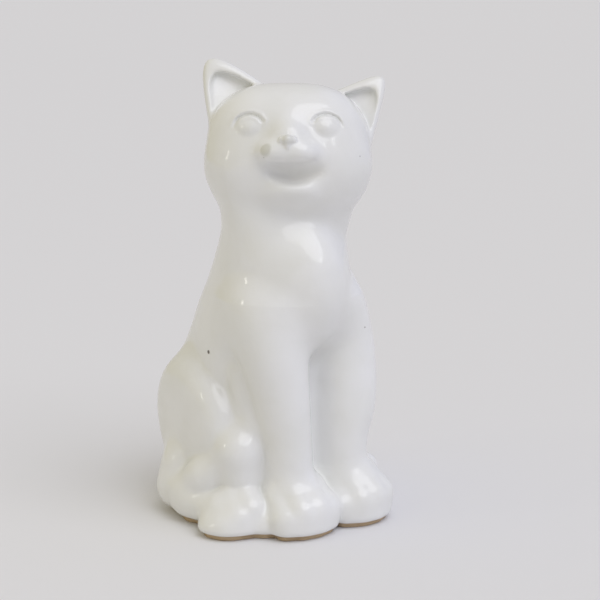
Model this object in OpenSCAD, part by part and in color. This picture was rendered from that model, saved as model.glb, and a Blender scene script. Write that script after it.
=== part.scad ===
// Seated kitten figurine in white-glazed earthenware.
// It is built as a potter builds it: hollow castings luted together with slip,
// standing on a slab of bare clay that closes the hollow underneath.
// The kitten faces -Y, +Z is up and the origin is the middle of the slab's underside.

/* [Figure] */
// Height from the table to the tip of the taller ear
figure_h = 200; // [150:5:250]
// Turn of the head about the neck, negative towards the kitten's right
head_turn = -33; // [-40:1:15]
// How far the face is lifted above level
head_lift = 14; // [4:1:18]

/* [Ceramic] */
// Thickness of the cast walls
wall = 5; // [4:0.5:6]
// Thickness of the clay slab under the figure
slab_h = 3; // [2:0.5:4]
// Width of the vent hole through the slab
vent_d = 3.6; // [2:0.2:3.8]

/* [Hidden] */

R = -1;                     // the kitten's right is on -X
L = 1;
fine = 24;                  // facets round an outer form
coarse = 16;                // facets round a hidden or small form

glaze = [0.93, 0.93, 0.91];
bare_clay = [0.80, 0.68, 0.52];

neck = [3, 3, 156];         // point the head turns about
tip_right = [-33, 5, 42];   // ear tips in the head's own frame
tip_left = [40, 5, 34];
tip_r = 1.6;                // roundness of an ear tip

// height at which the shapes below are drawn: the top of the taller ear
drawn_h = neck[2] + (tip_right[2] - tip_r) * cos(head_lift)
    - tip_right[1] * sin(head_lift) + tip_r;
k = figure_h / drawn_h;     // scale from the drawn shapes to the figure
cast_wall = wall / k;       // wall before that scale
slab_top = slab_h / k;      // slab before that scale
vent_r = vent_d / 2 / k;    // vent before that scale
tuck = 14;                  // how much further back the left hind leg sits
inset = 4;                  // how much nearer the middle it sits
parting = 3.5;              // x of the plane between the forelegs
web = 7;                    // half the widest gap the slab webs over
under = 60;                 // depth of the block that trims forms at the slab

// ---- plain shapes ----

module ball(at, r, n = fine) {
    translate(at) sphere(r, $fn = n);
}

// Egg of half-sizes r, thinned by t for the hollow
module egg(at, r, t = 0, n = fine) {
    translate(at) scale([r[0] - t, r[1] - t, r[2] - t]) sphere(1, $fn = n);
}

// Skin stretched over each neighbouring pair of stations [point, radius]
module limb(stations, t = 0, n = fine) {
    for (i = [0 : len(stations) - 2])
        hull() {
            ball(stations[i][0], stations[i][1] - t, n);
            ball(stations[i + 1][0], stations[i + 1][1] - t, n);
        }
}

// Places its children in the head's own frame: face to -Y, neck at the origin
module in_head_frame() {
    translate(neck) rotate([0, 0, head_turn]) rotate([-head_lift, 0, 0]) children();
}

module below_slab_top() {
    translate([-150, -150, slab_top - under]) cube([300, 300, under]);
}

// ---- forms, t = how far in from the glaze ----

// Rump, back, chest and neck
module trunk(t = 0, n = fine) {
    hull() {
        egg([0, 22, 24], [35, 35, 32], t, n);
        egg([0, 22, 64], [33.5, 38, 32], t, n);
    }
    hull() {
        egg([0, 22, 64], [33.5, 38, 32], t, n);
        egg([0, 4, 102], [29, 32, 24], t, n);
    }
    hull() {
        egg([0, 4, 102], [29, 32, 24], t, n);
        egg([0, 2, 134], [27, 23, 20], t, n);
    }
}

module skull(t = 0, n = fine) {
    // flare of the neck into the jowls
    hull() {
        egg([0, 2, 134], [27, 23, 16], t, n);
        in_head_frame() egg([0, 2, -9], [32, 27, 20], t, n);
    }
    // braincase
    in_head_frame() hull() {
        egg([-10, 1, 7], [23.5, 27, 24], t, n);
        egg([10, 1, 7], [23.5, 27, 24], t, n);
    }
    // cheeks
    in_head_frame() hull() {
        egg([-13, -3, -5], [21, 22, 18], t, n);
        egg([13, -3, -5], [21, 22, 18], t, n);
    }
}

module face() {
    in_head_frame() {
        // muzzle
        hull() {
            egg([-5.5, -25, -2.5], [8.5, 9, 7.5]);
            egg([5.5, -25, -2.5], [8.5, 9, 7.5]);
            egg([0, -18, 6], [9, 10, 9]);
        }
        // lower jaw
        egg([0, -20.5, -15], [12, 8, 6]);
        // nose
        egg([0, -33.5, 1.5], [3, 2, 2.2], 0, coarse);
    }
}

// Paw with four toes, heading towards -Y before it is turned
module paw(at, turn, half_w, reach, high) {
    toe = half_w * 0.46;
    translate(at) rotate([0, 0, turn]) {
        hull() {
            translate([0, 3, 0]) cylinder(r = half_w * 0.86, h = 5, $fn = fine);
            ball([0, 4, high * 0.6], half_w * 0.74, coarse);
            for (i = [-1, 1]) ball([i * half_w * 0.5, -reach * 0.4, high * 0.4], toe, coarse);
        }
        for (i = [-1.5 : 1 : 1.5])
            hull() {
                ball([i * half_w * 0.4, toe + 8 - reach, high - toe], toe, coarse);
                ball([i * half_w * 0.48, abs(i) * 1.6 - reach + toe, high * 0.4], toe, coarse);
                ball([i * half_w * 0.48, abs(i) * 1.6 - reach + toe, 2], toe, coarse);
            }
    }
}

module foreleg_form(side) {
    if (side == R) {
        limb([[[-14, -6, 98], 15],
              [[-15, -12, 80], 15],
              [[-13, -15.5, 58], 12.6],
              [[-11, -17.5, 38], 10.8],
              [[-10.5, -18, 14], 10.6]]);
        paw([-10, -25, 0], 0, 13.5, 14.2, 24);
    } else {
        limb([[[16, -6, 98], 13.5],
              [[23, -9, 78], 13],
              [[22.4, -13, 60], 13.2],
              [[18, -17, 36], 11],
              [[17, -18, 14], 10.3]]);
        paw([19.5, -25, 0], 0, 13.5, 13.6, 24);
    }
}

// Round of the thigh, an egg pointing up and back, t = how far in from the glaze
module thigh(side, x, back, t = 0, n = fine) {
    translate([side * (25 - x), 22 + back, 41]) rotate([34, 0, 0])
        scale([19.5 - t, 31 - t, 26.5 - t]) sphere(1, $fn = n);
}

// Thigh, knee, the shank that runs back from the knee to the heel, and the foot under it
module hind_leg_form(side, x, back) {
    thigh(side, x, back);
    translate([-side * x, back, 0]) {
        limb([[[side * 26, 3, 42], 9.5],
              [[side * 27.5, -6, 33.5], 10.2],
              [[side * 27.2, -6, 22], 9.8]]);
        limb([[[side * 28, -4, 28], 9.8],
              [[side * 35.3, 11, 21.5], 10.4],
              [[side * 37.5, 26, 15], 11.5]]);
        hull() {
            ball([side * 37.5, 26, 13], 11.3);
            translate([side * 37, 26, 0]) cylinder(r = 10.5, h = 4, $fn = fine);
            ball([side * 37, 2, 9], 9);
            translate([side * 37, 2, 0]) cylinder(r = 9, h = 4, $fn = fine);
        }
        paw([side * 36.2, -10, 0], side * 19, 12.5, 13.2, 21);
    }
}

module tail_form() {
    limb([[[2, 46, 13], 11],
          [[22, 50, 11], 9.5],
          [[40, 42, 9.5], 8.5],
          [[49, 26, 8.5], 7.5],
          [[50, 12, 8], 6.5]]);
}

// Pointed ear: a cone leaning outwards, dished out from the front
module ear_form(side, tip, at) {
    in_head_frame() difference() {
        hull() {
            translate(at) scale([14, 7, 7]) sphere(1, $fn = fine);
            ball(tip + [-side * 7, 0, -4], 2.4, coarse);
            ball(tip + [-side * tip_r, 0, -tip_r], tip_r, coarse);
        }
        hull() {
            translate(at + [side * 0.5, -5.5, 2]) scale([10, 6, 5]) sphere(1, $fn = fine);
            ball(tip + [-side * 4, -5.5, -6], 3.2, coarse);
        }
    }
}

// Hollow shared by the castings
module hollow() {
    difference() {
        union() {
            trunk(cast_wall, coarse);
            skull(cast_wall, coarse);
            thigh(R, 0, 0, cast_wall + 1, coarse);
            thigh(L, inset, tuck, cast_wall + 1, coarse);
        }
        below_slab_top();
    }
}

// Everything on one side of the plane between the forelegs
module half_space(side) {
    translate([parting + side * 75, 0, 50]) cube([150, 300, 220], center = true);
}

// ---- the pieces, at drawn size: each is trimmed to the one it is luted onto ----

module torso_piece() {
    difference() {
        trunk();
        hollow();
        below_slab_top();
    }
}

module head_piece() {
    difference() {
        union() {
            skull();
            face();
        }
        trunk();
        hollow();
    }
}

module ear_piece(side, tip, at) {
    difference() {
        ear_form(side, tip, at);
        skull();
    }
}

module foreleg_piece(side) {
    difference() {
        intersection() {
            foreleg_form(side);
            half_space(side);
        }
        trunk();
        below_slab_top();
    }
}

module hind_leg_piece(side, x, back) {
    difference() {
        hind_leg_form(side, x, back);
        trunk();
        foreleg_form(side);
        hollow();
        below_slab_top();
    }
}

module tail_piece() {
    difference() {
        tail_form();
        trunk();
        hind_leg_form(L, inset, tuck);
        below_slab_top();
    }
}

module foot_slab_piece() {
    difference() {
        // footprint, with the gaps between the paws and the body webbed over
        linear_extrude(slab_top) offset(r = -web - 0.8, $fn = coarse) offset(r = web, $fn = coarse)
            projection(cut = true)
            translate([0, 0, -slab_top - 0.3]) {
                trunk();
                foreleg_form(R);
                foreleg_form(L);
                hind_leg_form(R, 0, 0);
                hind_leg_form(L, inset, tuck);
                tail_form();
            }
        translate([0, 14, -1]) cylinder(r = vent_r, h = slab_top + 2, $fn = fine);
    }
}

// ---- the nodes ----

module torso() { color(glaze) scale(k) torso_piece(); }
module head() { color(glaze) scale(k) head_piece(); }
module ear_right() { color(glaze) scale(k) ear_piece(R, tip_right, [-21, 6, 22]); }
module ear_left() { color(glaze) scale(k) ear_piece(L, tip_left, [24, 6, 19]); }
module foreleg_right() { color(glaze) scale(k) foreleg_piece(R); }
module foreleg_left() { color(glaze) scale(k) foreleg_piece(L); }
module hind_leg_right() { color(glaze) scale(k) hind_leg_piece(R, 0, 0); }
module hind_leg_left() { color(glaze) scale(k) hind_leg_piece(L, inset, tuck); }
module tail() { color(glaze) scale(k) tail_piece(); }
module foot_slab() { color(bare_clay) scale(k) foot_slab_piece(); }

torso();
head();
ear_right();
ear_left();
foreleg_right();
foreleg_left();
hind_leg_right();
hind_leg_left();
tail();
foot_slab();
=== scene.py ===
"""Seated kitten figurine in white glaze: one sculpted skin, split into the castings of the frame."""

import math
from concurrent.futures import ThreadPoolExecutor
from functools import cached_property, reduce

import bpy
import numpy as np
import openvdb
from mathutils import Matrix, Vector


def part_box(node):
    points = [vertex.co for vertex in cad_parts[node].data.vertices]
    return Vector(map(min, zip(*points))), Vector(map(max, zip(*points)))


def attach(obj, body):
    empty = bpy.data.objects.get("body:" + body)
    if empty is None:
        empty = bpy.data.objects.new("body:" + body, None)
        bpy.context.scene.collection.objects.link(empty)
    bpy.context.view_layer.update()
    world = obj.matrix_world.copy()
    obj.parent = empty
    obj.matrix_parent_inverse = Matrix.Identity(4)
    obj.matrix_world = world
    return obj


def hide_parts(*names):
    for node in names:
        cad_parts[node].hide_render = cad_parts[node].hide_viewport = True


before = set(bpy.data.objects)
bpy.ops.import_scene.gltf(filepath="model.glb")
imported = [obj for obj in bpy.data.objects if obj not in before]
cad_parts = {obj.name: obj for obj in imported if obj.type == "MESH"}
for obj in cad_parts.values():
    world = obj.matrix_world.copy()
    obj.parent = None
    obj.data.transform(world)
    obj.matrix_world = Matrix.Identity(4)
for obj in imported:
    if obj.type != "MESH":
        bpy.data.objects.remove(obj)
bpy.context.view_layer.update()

# The form is sculpted in "drawn" millimetres and scaled to the frame by the height of the taller ear.
DRAWN_HEIGHT = 195.6
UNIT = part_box("ear_right")[1][2] / DRAWN_HEIGHT  # metres in one drawn millimetre
SLAB_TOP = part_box("foot_slab")[1][2] / UNIT
STEP = 0.78  # grid spacing of the sculpt
RIGHT, LEFT = -1, 1  # the kitten's right is on -X

NECK = (3.0, 3.0, 156.0)  # point the head turns about
HEAD_TURN = math.radians(-33)
HEAD_LIFT = math.radians(-14)
TUCK = 14.0  # how much further back the left hind leg sits
INSET = 4.0  # how much nearer the middle it sits
TOE = 6.4  # radius of a toe
GLAZE_FOOT = 1.8  # height at which the glaze stops above the table

WALL = 0.9  # thickness of each casting's shell
SLAB_INSET = 2.6  # how far the bare slab stays inside the glaze
VENT_Y, VENT_RADIUS = 14.0, 1.8  # vent hole through the slab, in the middle from side to side

# box that holds the whole sculpt, and the part of it that holds the slab
SCULPT_LOW, SCULPT_HIGH = np.array([-56.0, -46.0, -2.0]), np.array([62.0, 66.0, 200.0])
SLAB_HIGH = np.array([62.0, 66.0, 6.0])

PARTS = ["torso", "head", "ear_right", "ear_left", "foreleg_right", "foreleg_left",
         "hind_leg_right", "hind_leg_left", "tail"]


# ---- distance functions: negative inside, all in drawn millimetres ----

def smin(a, b, k):
    """Union of two forms with a fillet of size k."""
    h = np.maximum(k - np.abs(a - b), 0.0) / k
    return np.minimum(a, b) - h * h * h * k / 6.0


def smax(a, b, k):
    """What two forms have in common, with its edge rounded by size k."""
    return -smin(-a, -b, k)


def union(forms, k):
    """All the forms in one, each blended into the ones before it."""
    return reduce(lambda a, b: smin(a, b, k), forms)


def length(v):
    return np.sqrt(np.einsum("ij,ij->i", v, v))


def turned(p, angle):
    """Points as seen from a frame turned about z."""
    c, s = math.cos(angle), math.sin(angle)
    return np.stack([c * p[:, 0] + s * p[:, 1], -s * p[:, 0] + c * p[:, 1], p[:, 2]], 1)


def tipped(p, angle):
    """Points as seen from a frame tipped about x."""
    c, s = math.cos(angle), math.sin(angle)
    return np.stack([p[:, 0], c * p[:, 1] + s * p[:, 2], -s * p[:, 1] + c * p[:, 2]], 1)


def egg(p, at, radii, turn=0.0):
    """Ellipsoid, turned about z."""
    q = p - np.array(at, np.float32)
    if turn:
        q = turned(q, turn)
    r = np.array(radii, np.float32)
    k0 = length(q / r)
    k1 = length(q / (r * r))
    return k0 * (k0 - 1.0) / np.maximum(k1, 1e-6)


def cone(p, a, ra, b, rb):
    """Capsule whose radius runs from ra to rb."""
    a, b = np.array(a, np.float32), np.array(b, np.float32)
    v = b - a
    t = np.clip((p - a) @ v / float(v @ v), 0.0, 1.0)
    return length(p - a - t[:, None] * v) - (ra + t * (rb - ra))


def chain(p, stations, k):
    """Cones through the stations [(point, radius), ...], blended at each joint."""
    return union([cone(p, a, ra, b, rb) for (a, ra), (b, rb) in zip(stations, stations[1:])], k)


_tables = {}


def spline(x, xs, ys):
    """Smooth curve through the points, sampled from a fine table and level beyond its ends."""
    key = (tuple(xs), tuple(ys))
    if key not in _tables:
        xs_, ys_ = np.array(xs, float), np.array(ys, float)
        slope = np.gradient(ys_, xs_)
        t = np.linspace(xs_[0], xs_[-1], 600)
        i = np.clip(np.searchsorted(xs_, t) - 1, 0, len(xs_) - 2)
        h = xs_[i + 1] - xs_[i]
        u = (t - xs_[i]) / h
        table = ((2 * u**3 - 3 * u**2 + 1) * ys_[i] + (u**3 - 2 * u**2 + u) * h * slope[i]
                 + (3 * u**2 - 2 * u**3) * ys_[i + 1] + (u**3 - u**2) * h * slope[i + 1])
        _tables[key] = (t, table)
    t, table = _tables[key]
    return np.interp(x, t, table).astype(np.float32)


def ramp(x, xs, ys):
    """Straight lines through the points, level beyond the ends."""
    return np.interp(x, xs, ys).astype(np.float32)


def loft(p, heights, half_width, middle, front, back):
    """Upright form whose cross-section at each height is an egg: its own depth in front and behind."""
    z = p[:, 2]
    a = spline(z, heights, half_width)
    dy = p[:, 1] - spline(z, heights, middle)
    b = np.where(dy < 0, spline(z, heights, front), spline(z, heights, back))
    x = p[:, 0]
    k0 = np.sqrt((x / a) ** 2 + (dy / b) ** 2)
    k1 = np.sqrt((x / (a * a)) ** 2 + (dy / (b * b)) ** 2)
    return k0 * (k0 - 1.0) / np.maximum(k1, 1e-5)


def column(p, heights, xs, ys, radii):
    """Upright limb whose centre and radius vary smoothly with height."""
    z = p[:, 2]
    away = np.hypot(p[:, 0] - spline(z, heights, xs), p[:, 1] - spline(z, heights, ys))
    middle, half = (heights[0] + heights[-1]) / 2, (heights[-1] - heights[0]) / 2
    return smax(away - spline(z, heights, radii), np.abs(z - middle) - half, 8)


# ---- the head, in its own frame: face to -Y, neck pivot at the origin ----

def head_frame(p):
    return tipped(turned(p - np.array(NECK, np.float32), HEAD_TURN), HEAD_LIFT)


def skull(q):
    d = union([egg(q, (side * 9, 1.5, 8), (25, 27, 22.2)) for side in (RIGHT, LEFT)], 12)  # crown
    for side in (RIGHT, LEFT):
        d = smin(d, egg(q, (side * 12, -2, -4.5), (23.2, 23, 18)), 10)  # cheek
    d = smin(d, egg(q, (0, 0.5, -14), (29.8, 24, 16)), 12)  # jowls
    return smin(d, egg(q, (0, 6, -25), (26, 18, 15)), 8)  # top of the neck


def nose(q):
    tip = chain(q, [((-2.2, -32.9, 2.3), 1.5), ((0, -33.6, 2.2), 1.8), ((2.2, -32.9, 2.3), 1.5)], 1.2)
    return smin(tip, cone(q, (0, -33.5, 1.4), 1.8, (0, -33.6, -0.8), 0.9), 1.2)


def muzzle(q, d):
    d = smin(d, cone(q, (0, -15.8, 11.5), 7.6, (0, -25, 3.5), 7.2), 8)  # bridge of the nose
    d = smin(d, egg(q, (0, -22.5, -1.6), (13.8, 11.2, 7.4)), 5)  # upper lip
    for side in (RIGHT, LEFT):
        d = smin(d, egg(q, (side * 4.8, -27.2, -2.6), (6.6, 6.6, 4.8), turn=side * 0.3), 3)  # whisker pad
    d = smin(d, egg(q, (1, -18.6, -16.8), (11, 7.0, 4.4)), 6)  # lower jaw
    # the open mouth smiles: its corners are lifted
    mouth_x, smile = 3.0, 0.012
    lifted = q.copy()
    lifted[:, 2] = q[:, 2] - smile * (q[:, 0] - mouth_x) ** 2
    d = smax(d, -egg(lifted, (mouth_x, -27.6, -10.9), (12.0, 7.2, 3.5)), 6.0)
    return smin(d, nose(q), 1.2)


def arc_distance(x, z, points):
    """Distance in the x-z plane to a curve through the points."""
    xs, zs = zip(*points)
    t = np.linspace(0, len(points) - 1, 25)
    curve = np.stack([spline(t, range(len(points)), xs), spline(t, range(len(points)), zs)], 1)
    best = np.full(x.shape, 99.0, np.float32)
    for (x0, z0), (x1, z1) in zip(curve, curve[1:]):
        along = (x - x0) * (x1 - x0) + (z - z0) * (z1 - z0)
        u = np.clip(along / ((x1 - x0) ** 2 + (z1 - z0) ** 2), 0, 1)
        best = np.minimum(best, np.hypot(x - x0 - u * (x1 - x0), z - z0 - u * (z1 - z0)))
    return best


def dome(x, z, at, radii, tilt):
    """1 at the middle of an oval, 0 outside it, rounded between."""
    c, s = math.cos(tilt), math.sin(tilt)
    u = (c * (x - at[0]) + s * (z - at[1])) / radii[0]
    v = (-s * (x - at[0]) + c * (z - at[1])) / radii[1]
    return np.maximum(1.0 - u * u - v * v, 0.0)


def bell(distance, width):
    return np.exp(-((distance / width) ** 2))


def eyes(q, d):
    """Low relief on the front of the skull: a shallow socket, an oval eye and the crease of its lid."""
    front = (q[:, 1] < -8) & (q[:, 2] > -6) & (q[:, 2] < 26)
    x, z = np.abs(q[front, 0]), q[front, 2]
    rise = -0.7 * bell(np.hypot((x - 16) / 1.3, z - 9.5), 6.0)  # socket
    # the eye is full above and fades out below
    rise += 1.35 * dome(x, z, (16.2, 9.0), (5.8, 5.0), 0.10) ** ramp(z, (6, 12), (2.2, 0.85))
    lid = arc_distance(x, z, [(22.2, 9.2), (20.4, 12.6), (16.4, 14.2), (12.4, 13.2), (10.4, 11.0)])
    rise += (-0.75 * bell(lid, 0.7) + 0.3 * bell(lid - 1.4, 0.9)) * ((z - 8.4) / 3.5).clip(0, 1)
    d = d.copy()
    d[front] -= rise
    return d


def head(q):
    return eyes(q, muzzle(q, skull(q)))


def ear(q, side, edge, top, base, middle, roundness):
    """A cup between an outer edge and a sloping top edge, each a line through two points (x, z)."""
    def beyond(line, inset):
        (x0, z0), (x1, z1) = line
        n = np.array([z1 - z0, x0 - x1]) / math.hypot(x1 - x0, z1 - z0)
        return (q[:, 0] - x0) * n[0] + (q[:, 2] - z0) * n[1] + inset

    if side == RIGHT:
        edge, top = edge[::-1], top[::-1]
    outer_rim, top_rim = 1.8, 3.2
    depth = np.clip(7.6 - (q[:, 2] - base) * 0.22, 2.2, 8.5)  # half the thickness, less towards the tip
    y = q[:, 1] - middle
    outline = smax(beyond(edge, 0), beyond(top, 0), roundness)
    shell = smax(smax(outline, np.abs(y) - depth, 6), base - 8 - q[:, 2], 3)
    # the bowl gets deeper from the outer edge towards the head, down to a thin back wall
    inner = smax(beyond(edge, outer_rim), beyond(top, top_rim), roundness * 0.8 + 8)
    slope = 0.8 - 0.45 * beyond(edge, 1.6) + 0.22 * np.maximum(q[:, 2] - base - 6, 0)
    floor = smin(slope - depth, np.minimum(4.4 - depth, depth - 2.4), 4)
    bowl = smax(smax(inner, y - floor, 3), base - 3 - q[:, 2], 4)
    return smax(shell, -bowl, 1.8)


def ear_right(q):
    return ear(q, RIGHT, edge=((-34.3, 17), (-38.0, 38)), top=((-30, 44.9), (-12, 32.4)),
               base=20, middle=5, roundness=27)


def ear_left(q):
    return ear(q, LEFT, edge=((36.0, 7.4), (41.8, 30)), top=((41, 37.4), (23, 29.6)),
               base=12, middle=5, roundness=14)


# ---- the body ----

def torso(p):
    d = loft(p,
             heights=(-6, 3, 14, 30, 48, 62, 71, 80, 90, 102, 115, 127, 138, 150),
             half_width=(31, 33, 34, 35, 34, 33, 32.5, 32, 31, 29, 27.5, 27, 28, 29),
             middle=(22, 22, 21, 20, 18, 15, 13, 10.5, 8, 5, 2.5, 1, 1, 1),
             front=(26, 27, 27, 27, 27, 25.5, 26, 30, 33, 33, 28.2, 20, 14.5, 12),
             back=(29, 33, 37, 40.5, 43.5, 45.5, 45.3, 44.2, 41.3, 36.5, 31.5, 26, 22, 20))
    # clay that fills the gap between the forelegs
    web = column(p, heights=(0, 20, 44, 62, 76), xs=(4, 4, 5, 6, 6), ys=(0, 0.5, 2, 4.5, 8),
                 radii=(17, 16.5, 15.5, 14.5, 15))
    d = smin(d, web, 8)
    d = smin(d, egg(p, (0.5, -11.5, 103.5), (15, 20.5, 26)), 12)  # breast
    return smax(d, p[:, 2] - 152, 6)


def paw(p, at, turn, toes, ankle):
    """Mitt heading towards -Y before it is turned: toes are (x, front y, height), ankle (y, z, radius)."""
    q = turned(p - np.array(at, np.float32), turn)

    def toe(x, front, high):
        y, z = front + TOE, high - TOE
        return chain(q, [((x, y, 3), TOE), ((x, y + 0.4, z - 7), TOE), ((x * 0.85, y + 9, z), TOE)], 6)

    # the toes run together at the ground and part above it
    mitt = union([toe(*sizes) for sizes in toes], ramp(q[:, 2], (4, 14), (8.0, 3.0)))
    y, z, r = ankle
    return smin(mitt, cone(q, (0, y, 5), r, (0, y, z), r), 5)


def front_leg(p, side):
    if side == RIGHT:
        leg = column(p, heights=(2, 24, 38, 58, 80, 98, 114),
                     xs=(-10.5, -10.5, -11, -13, -15, -14, -12),
                     ys=(-18, -18, -17.5, -15.5, -12, -7, -3),
                     radii=(10.6, 10.6, 10.8, 12.6, 15, 15, 9))
        toes = [(-9.3, -11.4, 21), (-3.1, -14.2, 24), (3.1, -14.4, 24.5), (9.2, -12.2, 23)]
        mitt = paw(p, (-10, -25, 0), 0, toes, ankle=(5, 14, 11.5))
    else:
        leg = column(p, heights=(2, 24, 36, 47, 60, 78, 98, 114),
                     xs=(17, 17, 18, 20.4, 22.4, 23.4, 17, 13),
                     ys=(-18, -18, -17.2, -15.4, -13, -9, -7, -3),
                     radii=(10.3, 10.3, 11, 12.8, 13.2, 13, 13.5, 8))
        toes = [(-9.0, -11, 22), (-3, -13.6, 24), (3, -13.4, 25), (8.6, -10.2, 24.5)]
        mitt = paw(p, (19.5, -25, 0), 0, toes, ankle=(4, 15, 12))
    return smin(leg, mitt, 6)


def thigh(p, side, x, back):
    """A pillow: an oval seen from the side, pointing up and back, with well rounded edges."""
    dy, dz = p[:, 1] - 22 - back, p[:, 2] - 41
    slant = 0.6
    c, s = math.cos(slant), math.sin(slant)
    oval = (np.hypot((c * dy + s * dz) / 30, (-s * dy + c * dz) / 26.5) - 1) * 27
    return smax(oval, np.abs(p[:, 0] - side * (24.5 + x)) - 16.5, 21)


def shank(p, side, x, back):
    """Knee, the shin that runs back from it to the heel, and the foot under them."""
    def limb(*stations, k):
        return chain(p, [((side * (sx + x), sy + back, sz), r) for sx, sy, sz, r in stations], k)

    knee = limb((26, 3, 42, 9.5), (27.5, -6, 33.5, 10.2), (27.2, -6, 23, 9.8), k=4)
    shin = limb((27.8, -5, 33, 9.8), (34.8, 6, 20.5, 9.8), (39, 15.5, 11.5, 9.8), k=6)
    foot = limb((36.2, 25, 21, 10.7), (36.8, 25.5, 11.5, 11.0), (38.3, 12, 9, 9.5), (36, -6, 8, 9), k=8)
    return smin(smin(knee, shin, 4), foot, 3)


def hind_leg(p, side, x, back):
    """Moved outwards by x and back by back from where the right one sits."""
    toes = [(side * 6.4, -8.6, 14.5), (side * 2.4, -12.6, 17.5), (side * -2.9, -13.2, 21),
            (side * -8.2, -12.0, 24)]
    mitt = paw(p, (side * (35.4 + x), -10 + back, 0), side * 0.33, toes, ankle=(3, 8, 9.5))
    crease = ramp(p[:, 1], (back + 10, back + 30), (2.5, 9))  # sharp at the knee, soft at the heel
    leg = smin(thigh(p, side, x, back), shank(p, side, x, back), crease)
    return smin(leg, mitt, 2.0)


def tail(p):
    return chain(p, [((2, 46, 13), 11), ((22, 50, 11), 9.5), ((40, 42, 9.5), 8.5), ((49, 26, 8.5), 7.5),
                     ((50, 12, 8), 6.5)], 8)


# ---- the whole figure ----

def near(p, low, high, fn, reach=20.0):
    """fn where p is within reach of the box, and simply far elsewhere."""
    far = 60.0
    m = np.all((p > np.array(low) - reach) & (p < np.array(high) + reach), axis=1)
    d = np.full(len(p), far, np.float32)
    if m.any():
        d[m] = fn(p[m])
    return d


def forms(p):
    """Distance to each casting's own form, in the order of PARTS."""
    q = head_frame(p)
    return [near(p, (-40, -40, -9), (40, 70, 150), torso),
            near(q, (-37, -37, -40), (37, 32, 33), head),
            near(q, (-40, -6, 10), (-8, 14, 46), ear_right, reach=6),
            near(q, (20, -6, 2), (43, 14, 38), ear_left, reach=6),
            near(p, (-30, -42, 0), (8, 10, 128), lambda v: front_leg(v, RIGHT)),
            near(p, (0, -42, 0), (38, 10, 128), lambda v: front_leg(v, LEFT)),
            near(p, (-52, -26, 0), (-6, 56, 78), lambda v: hind_leg(v, RIGHT, 0, 0)),
            near(p, (6, -16, 0), (52, 66, 78), lambda v: hind_leg(v, LEFT, -INSET, TUCK)),
            near(p, (-10, 0, 0), (60, 62, 25), tail)]


def field(p):
    """The whole figure before its foot is cut. Each union has its own fillet of glaze."""
    parts = dict(zip(PARTS, forms(p)))
    # slip that fills the gap between the right paws, and the one between the right knee and foreleg
    skirt = chain(p, [((-31, -14, 4), 7.5), ((-24, -21, 4), 7.5), ((-18, -22, 4), 7)], 6)
    flank = chain(p, [((-20, -2, 66), 9), ((-19.5, -6.5, 42), 8.5), ((-19, -8, 16), 8)], 6)
    # the forelegs run into the chest above and stand clear of it below
    heights = (4, 24, 60, 84, 98, 114)
    d = smin(parts["torso"], parts["foreleg_left"], ramp(p[:, 2], heights, (3, 13, 13, 16, 16, 3)))
    d = smin(d, parts["foreleg_right"], ramp(p[:, 2], heights, (2, 8, 8, 16, 16, 3)))
    # the haunch stands clear of the flank in front and runs into the back behind
    haunch = ramp(p[:, 1], (14, 40), (3, 20))
    for name, fillet in (("hind_leg_right", haunch), ("hind_leg_left", haunch), ("tail", 4.0),
                         ("head", 7.0), ("ear_right", 2.2), ("ear_left", 2.2)):
        d = smin(d, parts[name], fillet)
    return smin(smin(d, flank, 5.0), skirt, 4.0)


def glazed(p):
    """The figure with its foot rounded off just above the slab's underside."""
    return smax(field(p), GLAZE_FOOT - p[:, 2], 5.0)


# ---- meshing ----

def batches(fn, p, size=60000):
    """fn over the points, in batches spread over the cores."""
    with ThreadPoolExecutor(4) as pool:
        return np.concatenate(list(pool.map(fn, [p[i:i + size] for i in range(0, len(p), size)])))


def blocks(grid, size):
    """Each cell of a coarse grid repeated over the fine cells it covers."""
    cells = grid[:-1, :-1, :-1]
    for axis in range(3):
        cells = np.repeat(cells, size, axis)
    return cells


def skin(fn, low, high, step, band=3.0):
    """Quads and vertices of the zero surface of fn in the box, evaluated finely only near the surface."""
    coarse = 4  # fine steps in a coarse one
    n = [int(math.ceil((high[i] - low[i]) / (step * coarse))) + 1 for i in range(3)]
    ax = [low[i] + step * coarse * np.arange(n[i], dtype=np.float32) for i in range(3)]
    grid = np.stack(np.meshgrid(*ax, indexing="ij"), -1).reshape(-1, 3).astype(np.float32)
    d = batches(fn, grid).reshape(n)
    out = blocks(d, coarse).astype(np.float32)
    reach = step * coarse * 2.2 + band  # distance from the surface within which fn is evaluated finely
    i, j, k = np.nonzero(blocks(np.abs(d) < reach, coarse))
    pts = np.stack([low[0] + step * i, low[1] + step * j, low[2] + step * k], 1).astype(np.float32)
    out[i, j, k] = batches(fn, pts)
    limit = 4 * step
    vdb = openvdb.FloatGrid(background=float(limit))
    vdb.copyFromArray(np.clip(out, -limit, limit))
    verts, _, quads = vdb.convertToPolygons(isovalue=0.0, adaptivity=0.0)
    verts = verts * step + np.array(low, np.float32)
    return verts.astype(np.float32), quads


def gradient(fn, p, h=0.12):
    """Direction in which fn grows fastest, and how fast."""
    g = []
    for i in range(3):
        e = np.zeros(3, np.float32)
        e[i] = h
        g.append(batches(fn, p + e) - batches(fn, p - e))
    g = np.stack(g, 1)
    size = length(g)
    return g / np.maximum(size, 1e-9)[:, None], size / (2 * h)


def settle(fn, p, rounds=2):
    """Moves vertices onto the surface, and gives its normals."""
    least_slope, longest_move = 0.3, 0.6
    for _ in range(rounds):
        n, slope = gradient(fn, p)
        move = (batches(fn, p) / np.maximum(slope, least_slope))[:, None]
        p = p - n * move.clip(-longest_move, longest_move)
    n, _ = gradient(fn, p)
    return p, n


# ---- pieces ----

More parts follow.
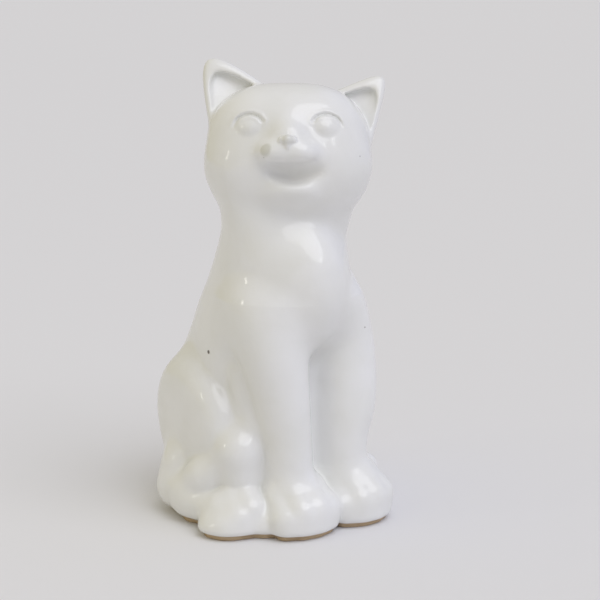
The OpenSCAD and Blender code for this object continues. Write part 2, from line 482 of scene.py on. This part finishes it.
def build(name, v, faces, normals, shade):
    """Mesh object with the given normals. shade holds how edge-like and how crease-like each vertex is."""
    mesh = bpy.data.meshes.new(name)
    mesh.from_pydata((v * UNIT).tolist(), [], faces)
    mesh.validate()
    mesh.polygons.foreach_set("use_smooth", [True] * len(mesh.polygons))
    mesh.normals_split_custom_set_from_vertices(normals.tolist())
    for i, title in enumerate(("edge", "pool")):
        layer = mesh.attributes.new(title, "FLOAT", "POINT")
        layer.data.foreach_set("value", shade[:, i].astype(np.float32))
    obj = bpy.data.objects.new(name, mesh)
    bpy.context.scene.collection.objects.link(obj)
    return obj


def submesh(verts, normals, quads, shade, name):
    """One casting as a closed shell: its faces of the skin, the same faces a wall further in, and a rim."""
    used, index = np.unique(quads, return_inverse=True)
    faces = index.reshape(quads.shape)
    count = len(used)
    v, n, s = verts[used], normals[used], shade[used]
    edges = np.concatenate([faces[:, [i, (i + 1) % 4]] for i in range(4)])
    key = edges[:, 0].astype(np.int64) * count + edges[:, 1]
    back = edges[:, 1].astype(np.int64) * count + edges[:, 0]
    rim = edges[~np.isin(key, back)]
    side = np.stack([rim[:, 1], rim[:, 0], rim[:, 0] + count, rim[:, 1] + count], 1)
    every = np.concatenate([faces, faces[:, ::-1] + count, side])
    return build(name, np.concatenate([v, v - n * WALL]), every.tolist(), np.concatenate([n, -n]),
                 np.concatenate([s, s]))


def smooth_borders(quads, labels, count, rounds=6):
    """Smooths the borders between the castings: each vertex votes, each face follows its vertices."""
    for _ in range(rounds):
        votes = np.zeros((count, len(PARTS)), np.float32)
        for i in range(4):
            np.add.at(votes, (quads[:, i], labels), 1.0)
        labels = votes[quads].sum(1).argmax(1)
    return labels


def dress(obj, node, material):
    obj.data.materials.append(material)
    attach(obj, "root")
    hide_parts(node)


def castings(material):
    verts, quads = skin(glazed, SCULPT_LOW, SCULPT_HIGH, STEP)
    verts, normals = settle(glazed, verts)
    # the form is probed a little under the surface for sharp rims and a little over it for creases
    under, over = 1.3, 1.3 * 1.5
    rim = 1.0 + batches(glazed, verts - normals * under) / under
    crease = 1.0 - batches(glazed, verts + normals * over) / over
    shade = np.stack([rim.clip(0, 1), crease.clip(0, 1)], 1)
    labels = batches(lambda p: np.stack(forms(p), 1).argmin(1), verts[quads].mean(1))
    labels = smooth_borders(quads, labels, len(verts))
    for i, name in enumerate(PARTS):
        obj = submesh(verts, normals, quads[labels == i], shade, "glazed_" + name)
        dress(obj, name, material)


def slab(material):
    """Bare clay foot: the footprint of the figure, a little inside the glaze, with a vent hole."""
    def foot(p):
        level = p.copy()
        level[:, 2] = SLAB_TOP + 0.5
        ripple = 0.15 * np.sin(p[:, 0] * 0.9) * np.sin(p[:, 1] * 0.7 + 1.0)
        d = smax(field(level) + SLAB_INSET + ripple, np.abs(p[:, 2] - SLAB_TOP / 2) - SLAB_TOP / 2, 0.7)
        hole = np.sqrt(p[:, 0] ** 2 + (p[:, 1] - VENT_Y) ** 2) - VENT_RADIUS
        return smax(d, -hole, 0.6)

    verts, quads = skin(foot, SCULPT_LOW, SLAB_HIGH, STEP * 0.8, 1.0)
    verts, normals = settle(foot, verts, 1)
    verts[:, 2] = verts[:, 2].clip(0.0, SLAB_TOP)
    obj = build("clay_foot", verts, quads.tolist(), normals, np.zeros((len(verts), 2)))
    dress(obj, "foot_slab", material)


# ---- materials ----

class Shader:
    """A material's node tree, with one call for each node."""

    def __init__(self, name):
        self.material = bpy.data.materials.new(name)
        self.material.use_nodes = True
        self.tree = self.material.node_tree
        self.surface = self.tree.nodes["Principled BSDF"]

    @cached_property
    def millimetres(self):
        """Place on the object, shared by the material's patterns."""
        at = self.node("ShaderNodeTexCoord").outputs["Object"]
        scaled = self.node("ShaderNodeVectorMath", {0: at, 1: (1000, 1000, 1000)}, operation="MULTIPLY")
        return scaled.outputs[0]

    def node(self, kind, inputs=(), **settings):
        n = self.tree.nodes.new(kind)
        for key, value in settings.items():
            setattr(n, key, value)
        for key, value in dict(inputs).items():
            self.put(n.inputs[key], value)
        return n

    def put(self, socket, value):
        if isinstance(value, bpy.types.NodeSocket):
            self.tree.links.new(value, socket)
        else:
            socket.default_value = value

    def set(self, **values):
        for key, value in values.items():
            self.put(self.surface.inputs[key.replace("_", " ")], value)

    def math(self, operation, *values):
        return self.node("ShaderNodeMath", enumerate(values), operation=operation).outputs[0]

    def mix(self, factor, a, b):
        """Colour a where the factor is 0 and b where it is 1."""
        return self.node("ShaderNodeMix", {0: factor, 6: a, 7: b}, data_type="RGBA").outputs[2]

    def noise(self, scale, detail=3.0, roughness=0.5):
        inputs = {"Vector": self.millimetres, "Scale": scale, "Detail": detail, "Roughness": roughness}
        return self.node("ShaderNodeTexNoise", inputs).outputs["Fac"]

    def ramp(self, value, low, high):
        """0 below low, 1 above high, smooth between."""
        inputs = {"Value": value, "From Min": low, "From Max": high}
        return self.node("ShaderNodeMapRange", inputs, interpolation_type="SMOOTHSTEP").outputs[0]

    def spot(self, at, radius, soft):
        """1 within the radius of a place, 0 a little further out."""
        at = tuple(c * UNIT * 1000 for c in at)
        away = self.node("ShaderNodeVectorMath", {0: self.millimetres, 1: at}, operation="DISTANCE")
        return self.math("SUBTRACT", 1.0, self.ramp(away.outputs["Value"], radius - soft, radius + soft))

    def attribute(self, name):
        return self.node("ShaderNodeAttribute", attribute_name=name).outputs["Fac"]

    def bump(self, height, distance, normal=None):
        inputs = {"Height": height, "Distance": distance, "Strength": 1.0}
        if normal is not None:
            inputs["Normal"] = normal
        return self.node("ShaderNodeBump", inputs).outputs[0]


# colours of the glaze, and of what shows where it is thin, pooled or pitted; a darker tone for the nose and
# for a painted dark reflection beside the muzzle
GLAZE, CLOUDED_GLAZE = (0.84, 0.84, 0.835, 1), (0.81, 0.81, 0.795, 1)
THIN_GLAZE, POOLED_GLAZE = (0.80, 0.76, 0.66, 1), (0.74, 0.76, 0.72, 1)
DARK_NOSE_AND_PAINTED_REFLECTION, PIT = (0.55, 0.545, 0.48, 1), (0.11, 0.09, 0.07, 1)
LIGHT_CLAY, DARK_CLAY, STAIN = (0.62, 0.48, 0.32, 1), (0.47, 0.34, 0.20, 1), (0.36, 0.25, 0.15, 1)

# pinholes in the glaze: place in drawn millimetres, radius in millimetres
PINHOLES = [((-32.3, 11.0, 73.6), 0.8), ((-43.0, 14.2, 45.2), 0.45), ((-21.5, -14.5, 26.2), 0.7),
            ((-22.3, -17.8, 158.7), 0.42), ((-22.9, -11.5, 139.7), 0.4), ((4.5, -18.0, 36.0), 0.35),
            ((30.5, 28.0, 92.0), 0.5), ((-8.0, 44.0, 104.0), 0.45), ((24.0, 50.0, 58.0), 0.6)]
# darker nose leather, and a painted dark reflection in a disc beside the muzzle: place, radius, strength
DARK_NOSE_AND_PAINTED_REFLECTION_SPOTS = [((-15.2, -25.2, 167.0), 2.6, 0.36), ((-22.2, -18.6, 162.4), 2.9, 0.6)]


def white_glaze():
    s = Shader("white_glaze")
    base = s.mix(s.ramp(s.noise(0.045, 2.0), 0.35, 0.65), GLAZE, CLOUDED_GLAZE)
    # thin on sharp rims and pooled in creases
    base = s.mix(s.math("MULTIPLY", s.ramp(s.attribute("edge"), 0.35, 1.0), 0.3), base, THIN_GLAZE)
    base = s.mix(s.math("MULTIPLY", s.ramp(s.attribute("pool"), 0.15, 0.8), 0.35), base, POOLED_GLAZE)
    # darker nose, and a painted dark reflection in a disc beside the muzzle
    for at, radius, strength in DARK_NOSE_AND_PAINTED_REFLECTION_SPOTS:
        base = s.mix(s.math("MULTIPLY", s.spot(at, radius, 0.9), strength), base, DARK_NOSE_AND_PAINTED_REFLECTION)
    # faint specks all over, and the pinholes
    speck = s.node("ShaderNodeTexVoronoi", {"Vector": s.millimetres, "Scale": 0.055}).outputs["Distance"]
    pits = s.math("MULTIPLY", s.math("SUBTRACT", 1.0, s.ramp(speck, 0.012, 0.026)), 0.6)
    for at, radius in PINHOLES:
        pits = s.math("MAXIMUM", pits, s.spot(at, radius, 0.25))
    base = s.mix(pits, base, PIT)
    # orange peel, a slow swell, and the dip of each pit
    peel = s.bump(s.noise(0.28, 1.0), 0.00006)
    swell = s.bump(s.noise(0.05, 1.0), 0.0004, peel)
    pitted = s.bump(s.math("SUBTRACT", 1.0, pits), 0.0004, swell)
    s.set(Base_Color=base, Roughness=s.math("MULTIPLY_ADD", s.noise(0.35), 0.10, 0.30), Normal=pitted,
          Coat_Normal=pitted)
    s.set(IOR=1.5, Coat_Weight=0.75, Coat_Roughness=0.08, Coat_IOR=1.5, Specular_IOR_Level=0.3)
    return s.material


def bare_clay():
    s = Shader("bare_clay")
    grain = s.noise(1.6, 5.0, 0.7)
    stain = s.ramp(s.noise(0.12, 3.0), 0.35, 0.7)
    base = s.mix(grain, DARK_CLAY, LIGHT_CLAY)
    base = s.mix(s.math("MULTIPLY", stain, 0.5), base, STAIN)
    s.set(Base_Color=base, Roughness=0.85, Normal=s.bump(grain, 0.0002))
    return s.material


# ---- studio ----

# the photograph's view: VIEW_REACH is the distance to the target, in drawn millimetres
VIEW_AZIMUTH, VIEW_RISE, VIEW_REACH = math.radians(-33), math.radians(12), 650.0
VIEW_TARGET = Vector((-6.65, -21.1, 99.0))
PIXELS_PER_MM, FRAME_PIXELS, SENSOR = 2.41, 600, 36.0
ACROSS = Vector((math.cos(VIEW_AZIMUTH), math.sin(VIEW_AZIMUTH), 0))
TOWARDS = Vector((math.sin(VIEW_AZIMUTH), -math.cos(VIEW_AZIMUTH), 0))
BACK = TOWARDS * math.cos(VIEW_RISE) + Vector((0, 0, math.sin(VIEW_RISE)))


def link(name, data):
    obj = bpy.data.objects.new(name, data)
    bpy.context.scene.collection.objects.link(obj)
    return obj


def camera():
    data = bpy.data.cameras.new("camera")
    obj = link("camera", data)
    obj.location = (VIEW_TARGET + BACK * VIEW_REACH) * UNIT
    obj.rotation_mode = "QUATERNION"
    obj.rotation_quaternion = (-BACK).to_track_quat("-Z", "Y")
    data.sensor_width = SENSOR
    data.lens = SENSOR * PIXELS_PER_MM * VIEW_REACH / FRAME_PIXELS
    data.clip_start, data.clip_end = 0.01, 20
    bpy.context.scene.camera = obj


def place(name, data, right, front, up, aim):
    """Puts a light to the camera's right, towards it and up, in metres, aimed at a height over the origin."""
    obj = link(name, data)
    obj.location = ACROSS * right + TOWARDS * front + Vector((0, 0, up))
    obj.rotation_mode = "QUATERNION"
    obj.rotation_quaternion = (Vector((0, 0, aim)) - obj.location).to_track_quat("-Z", "Y")


def softbox(name, right, front, up, width, height, radiance, colour):
    data = bpy.data.lights.new(name, "AREA")
    data.shape, data.size, data.size_y = "RECTANGLE", width, height
    data.energy, data.color = radiance * math.pi * width * height, colour
    place(name, data, right, front, up, aim=0.09)


def daylight(right, front, up, strength, angle, colour):
    """A very soft sun: the even light of a large window far away."""
    data = bpy.data.lights.new("daylight", "SUN")
    data.energy, data.angle, data.color = strength, math.radians(angle), colour
    place("daylight", data, right, front, up, aim=0.0)


def surroundings(warm, cool, strength):
    """An even room, warm on the picture's left and cool on its right."""
    world = bpy.data.worlds.new("studio")
    world.use_nodes = True
    tree = world.node_tree
    across = tree.nodes.new("ShaderNodeVectorMath")
    across.operation = "DOT_PRODUCT"
    across.inputs[1].default_value = ACROSS
    tree.links.new(tree.nodes.new("ShaderNodeTexCoord").outputs["Generated"], across.inputs[0])
    blend = tree.nodes.new("ShaderNodeMapRange")
    blend.inputs["From Min"].default_value, blend.inputs["From Max"].default_value = -0.9, 0.4
    tree.links.new(across.outputs["Value"], blend.inputs["Value"])
    tint = tree.nodes.new("ShaderNodeMix")
    tint.data_type = "RGBA"
    tint.inputs[6].default_value, tint.inputs[7].default_value = warm, cool
    tree.links.new(blend.outputs[0], tint.inputs[0])
    background = tree.nodes["Background"]
    background.inputs["Strength"].default_value = strength
    tree.links.new(tint.outputs[2], background.inputs["Color"])
    bpy.context.scene.world = world


def studio():
    daylight(right=0.46, front=0.48, up=1.05, strength=1.12, angle=50, colour=(0.95, 0.96, 1.0))
    softbox("window", right=0.70, front=0.64, up=0.76, width=0.12, height=0.16, radiance=2.8,
            colour=(0.96, 0.98, 1.0))
    softbox("lamp", right=-0.93, front=0.30, up=0.45, width=0.08, height=0.16, radiance=6.0,
            colour=(1.0, 0.97, 0.88))
    surroundings(warm=(0.72, 0.665, 0.43, 1), cool=(0.67, 0.675, 0.77, 1), strength=0.81)
    bpy.context.scene.view_settings.view_transform = "Standard"


def floor():
    mesh = bpy.data.meshes.new("floor")
    half = 12.0
    corners = [(-half, -half, 0), (half, -half, 0), (half, half, 0), (-half, half, 0)]
    mesh.from_pydata(corners, [], [(0, 1, 2, 3)])
    s = Shader("floor")
    s.set(Base_Color=(0.78, 0.775, 0.79, 1), Roughness=0.8, Specular_IOR_Level=0.0)
    mesh.materials.append(s.material)
    link("floor", mesh)


camera()
castings(white_glaze())
slab(bare_clay())
studio()
floor()
